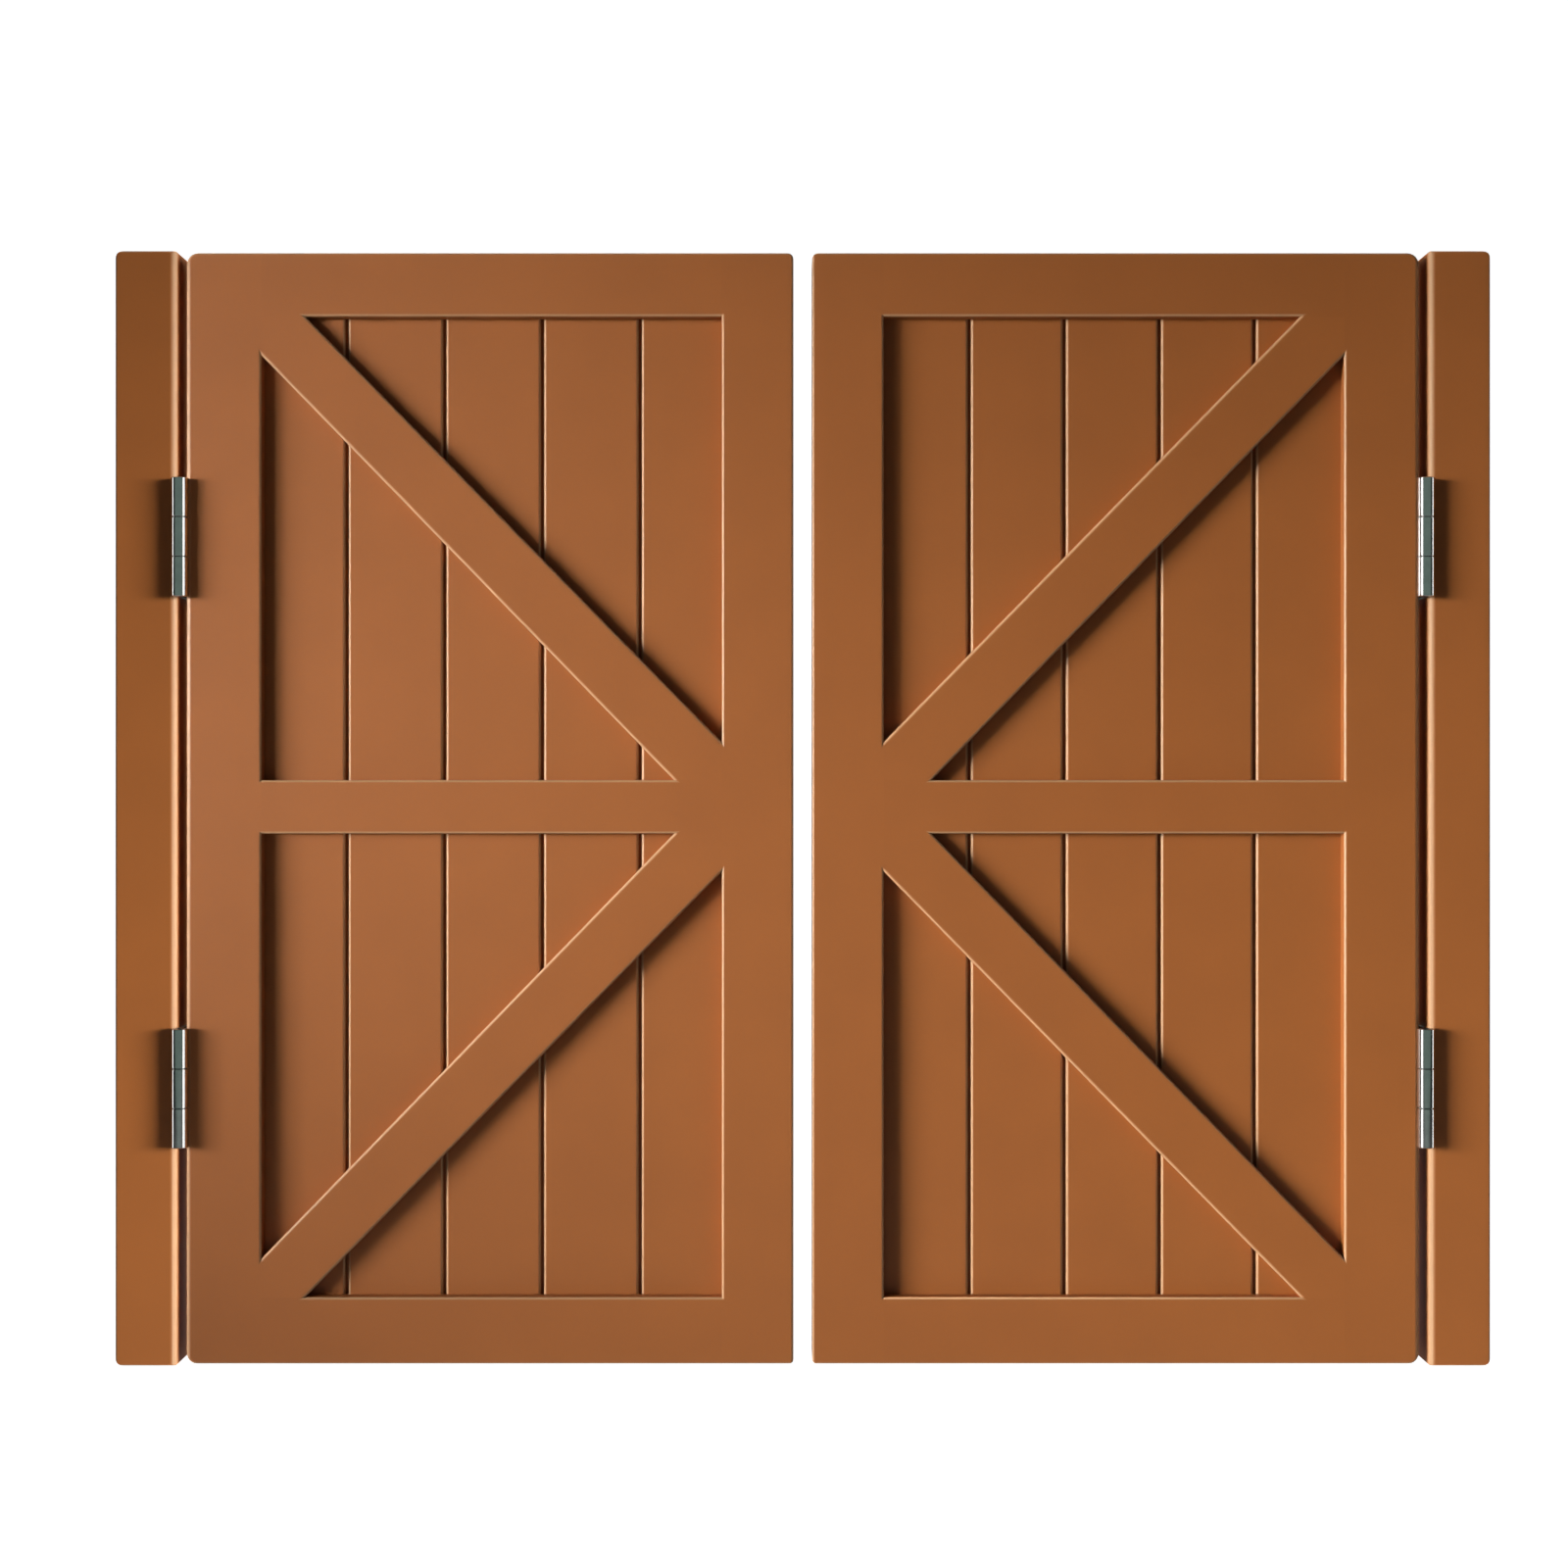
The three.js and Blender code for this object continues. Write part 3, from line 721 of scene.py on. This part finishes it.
def hinges():
    """All four hinges; the pieces of one kind share a mesh."""
    plate_steel = steel("brushed_steel", HINGE_COLOUR, HINGE_ROUGHNESS)
    spindle_steel = steel("turned_steel", SPINDLE_COLOUR, SPINDLE_ROUGHNESS)
    spring_steel = steel("spring_wire", SPRING_COLOUR, SPRING_ROUGHNESS)
    screw_steel = steel("screw_steel", SCREW_COLOUR, SCREW_ROUGHNESS)
    flange, link, screws = flange_mesh(), link_mesh(), screws_mesh()
    spindle, spring = spindle_mesh(), spring_mesh()
    pieces = {}

    def fit(node, name, mesh, material, centre, turn=0.0, y=0.0, replaced=True):
        piece = show(name, mesh, material, BODY_OF[node], [node] if replaced else ())
        piece.matrix_basis = Matrix.Translation(centre + Vector((0, y, 0))) @ Matrix.Rotation(turn, 4, "Z")
        pieces[name] = piece

    for side in SIDES:
        for level in LEVELS:
            hinge = f"{side}_{level}"
            low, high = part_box(f"{hinge}_link")
            centre = (low + high) / 2
            turns = {"leaf": 0.0, "post": math.pi} if side == "left" else {"leaf": math.pi, "post": 0.0}
            for holder, turn in turns.items():
                node = f"{hinge}_{holder}_flange"
                fit(node, f"steel_{node}", flange, plate_steel, centre, turn)
                name = f"{hinge}_{holder}_screws"
                fit(node, name, screws, screw_steel, centre, turn, replaced=False)
            fit(f"{hinge}_link", f"steel_{hinge}_link", link, plate_steel, centre)
            for barrel, way in (("front", -1), ("back", 1)):
                y = way * BARREL_OFFSET
                node = f"{hinge}_{barrel}_spindle"
                fit(node, f"turned_{node}", spindle, spindle_steel, centre, y=y)
                node = f"{hinge}_{barrel}_spring"
                fit(node, f"wound_{node}", spring, spring_steel, centre, y=y)
    return pieces


# Studio


def stage_material():
    """A white floor and backdrop that keep the shadows that fall on them."""
    material, tree, shader = new_material("studio_white")
    tree.nodes.remove(shader)
    path = add(tree, "ShaderNodeLightPath").outputs
    matt = add(tree, "ShaderNodeBsdfDiffuse", {"Color": STAGE_COLOUR}).outputs[0]
    place = add(tree, "ShaderNodeNewGeometry").outputs["Position"]
    level = add(tree, "ShaderNodeVectorMath", {0: place, 1: (1, 1, 0)}, operation="MULTIPLY").outputs[0]
    away = add(tree, "ShaderNodeVectorMath", {0: level}, operation="LENGTH").outputs["Value"]
    strength = ranged(tree, away, GLOW_DISTANCE, GLOW_STRENGTH)
    glow = add(tree, "ShaderNodeEmission", {"Color": WHITE, "Strength": strength}).outputs[0]
    lit = add(tree, "ShaderNodeAddShader", {0: matt, 1: glow}).outputs[0]
    strength = ranged(tree, away, MIRROR_DISTANCE, MIRROR_STRENGTH)
    mirrored = add(tree, "ShaderNodeEmission", {"Color": WHITE, "Strength": strength}).outputs[0]
    unseen = add(tree, "ShaderNodeMixShader", {0: path["Is Glossy Ray"], 1: matt, 2: mirrored}).outputs[0]
    mixed = add(tree, "ShaderNodeMixShader", {0: path["Is Camera Ray"], 1: unseen, 2: lit}).outputs[0]
    tree.links.new(mixed, tree.nodes["Material Output"].inputs["Surface"])
    return material


def sweep(profile, start, stop):
    """An open surface: a profile of radius and height carried round the upright axis."""
    shape = bmesh.new()
    steps = round(STAGE_STEPS * (stop - start) / (2 * math.pi))
    rows = []
    for step in range(steps + 1):
        angle = start + (stop - start) * step / steps
        rows.append([shape.verts.new((r * math.cos(angle), r * math.sin(angle), z)) for r, z in profile])
    for one, other in zip(rows, rows[1:]):
        for i in range(len(profile) - 1):
            shape.faces.new((one[i], other[i], other[i + 1], one[i + 1]))
    mesh = bpy.data.meshes.new("stage")
    shape.to_mesh(mesh)
    shape.free()
    mesh.shade_smooth()
    return mesh


def stage():
    """A floor that curves up into a round backdrop behind the doors and stays flat in front of them."""
    material = stage_material()
    flat = [(STAGE_MIDDLE, FLOOR_HEIGHT), (STAGE_RADIUS - STAGE_CURVE, FLOOR_HEIGHT)]
    rise = []
    for step in range(1, CURVE_STEPS + 1):
        angle = step / CURVE_STEPS * math.pi / 2
        radius = STAGE_RADIUS - STAGE_CURVE * (1 - math.sin(angle))
        rise.append((radius, FLOOR_HEIGHT + STAGE_CURVE * (1 - math.cos(angle))))
    wall = [(STAGE_RADIUS, FLOOR_HEIGHT + STAGE_WALL)]
    start, stop = -STAGE_OVERLAP, math.pi + STAGE_OVERLAP
    meshes = {
        "backdrop": sweep(flat + rise + wall, start, stop),
        "front_floor": sweep([flat[0], (STAGE_RADIUS, FLOOR_HEIGHT)], stop, start + 2 * math.pi),
    }
    for name, mesh in meshes.items():
        mesh.materials.append(material)
        ground = bpy.data.objects.new(name, mesh)
        bpy.context.scene.collection.objects.link(ground)


def world():
    """White to the camera, a dim room to the light, and a dark one to reflections."""
    made = bpy.data.worlds.new("studio")
    made.use_nodes = True
    tree = made.node_tree
    tree.nodes.clear()
    path = add(tree, "ShaderNodeLightPath").outputs
    dim = add(tree, "ShaderNodeBackground", {"Color": ROOM_FILL}).outputs[0]
    mirrored = add(tree, "ShaderNodeBackground", {"Color": ROOM_COLOUR}).outputs[0]
    white = add(tree, "ShaderNodeBackground", {"Color": WHITE}).outputs[0]
    room = add(tree, "ShaderNodeMixShader", {0: path["Is Glossy Ray"], 1: dim, 2: mirrored}).outputs[0]
    mixed = add(tree, "ShaderNodeMixShader", {0: path["Is Camera Ray"], 1: room, 2: white}).outputs[0]
    output = add(tree, "ShaderNodeOutputWorld")
    tree.links.new(mixed, output.inputs["Surface"])
    bpy.context.scene.world = made


def soft_light(name, place, aim, size, power, grid=NO_GRID, receivers=None, colour=WHITE[:3], mirrored=True):
    """A rectangular light that reaches its receivers, or everything, and shows in reflections if mirrored."""
    lamp = bpy.data.lights.new(name, "AREA")
    lamp.shape = "RECTANGLE"
    lamp.size, lamp.size_y = size
    lamp.energy = power
    lamp.color = colour
    lamp.spread = math.radians(grid)
    light = bpy.data.objects.new(name, lamp)
    light.location = place
    light.rotation_euler = (Vector(aim) - Vector(place)).to_track_quat("-Z", "Y").to_euler()
    light.visible_camera = False
    light.visible_glossy = mirrored
    light.light_linking.receiver_collection = receivers
    bpy.context.scene.collection.objects.link(light)


def receiver_set(name, pieces, state="INCLUDE"):
    """The only pieces that a light reaches, or the only ones that it misses."""
    collection = bpy.data.collections.new(name)
    for piece in pieces:
        collection.objects.link(piece)
    for row in collection.collection_objects:
        row.light_linking.link_state = state
    return collection


def lights(wooden, steely):
    """The key is mirrored for the left post, the hinges have their own lights, and back lights reach all."""
    left_post = wooden["left_post"]
    rest = receiver_set("lit_from_left", [left_post, *steely.values()], "EXCLUDE")
    from_right = receiver_set("lit_from_right", [left_post])
    for sign, receivers, gain in ((1, rest, 1), (-1, from_right, LEFT_POST_GAIN)):
        aim = (KEY_AIM[0] * sign, *KEY_AIM[1:])
        for x, y, z in KEY_PLACES:
            soft_light("key", (x * sign, y, z), aim, KEY_SIZE, KEY_POWER * gain, KEY_GRID, receivers)
    for place in SPOT_PLACES:
        soft_light("spot", place, SPOT_AIM, SPOT_SIZE, SPOT_POWER, SPOT_GRID, rest)
    for sign, side in ((-1, "left"), (1, "right")):
        receivers = receiver_set(f"{side}_hinges", [piece for name, piece in steely.items() if side in name])
        hinge_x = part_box(f"{side}_upper_link")[0].x + BARREL_RADIUS
        aim = (hinge_x, -BARREL_OFFSET, 0)
        for name, (angle, distance, size, power) in HINGE_STRIPS.items():
            way = Vector((sign * math.sin(math.radians(angle)), -math.cos(math.radians(angle)), 0))
            soft_light(f"{side}_{name}", Vector(aim) + way * distance, aim, size, power, receivers=receivers)
        for name, way in (("front", -1), ("back", 1)):
            place = (hinge_x, way * HINGE_ROOM_DISTANCE, 0)
            soft_light(
                f"{side}_{name}_room",
                place,
                (hinge_x, 0, 0),
                HINGE_ROOM_SIZE,
                HINGE_ROOM_POWER,
                receivers=receivers,
                colour=HINGE_ROOM_COLOUR,
            )
    for name, (place, power, grid, mirrored) in BACK_LIGHTS.items():
        soft_light(name, place, (0, 0, 0), BACK_SIZE, power, grid, mirrored=mirrored)


def camera():
    lens = bpy.data.cameras.new("camera")
    lens.lens = CAMERA_LENS
    made = bpy.data.objects.new("camera", lens)
    made.location = CAMERA_PLACE
    made.rotation_euler = (math.pi / 2, 0, 0)
    bpy.context.scene.collection.objects.link(made)
    bpy.context.scene.camera = made


wooden = woodwork()
steely = hinges()
stage()
world()
lights(wooden, steely)
camera()
bpy.context.scene.view_settings.view_transform = "Standard"
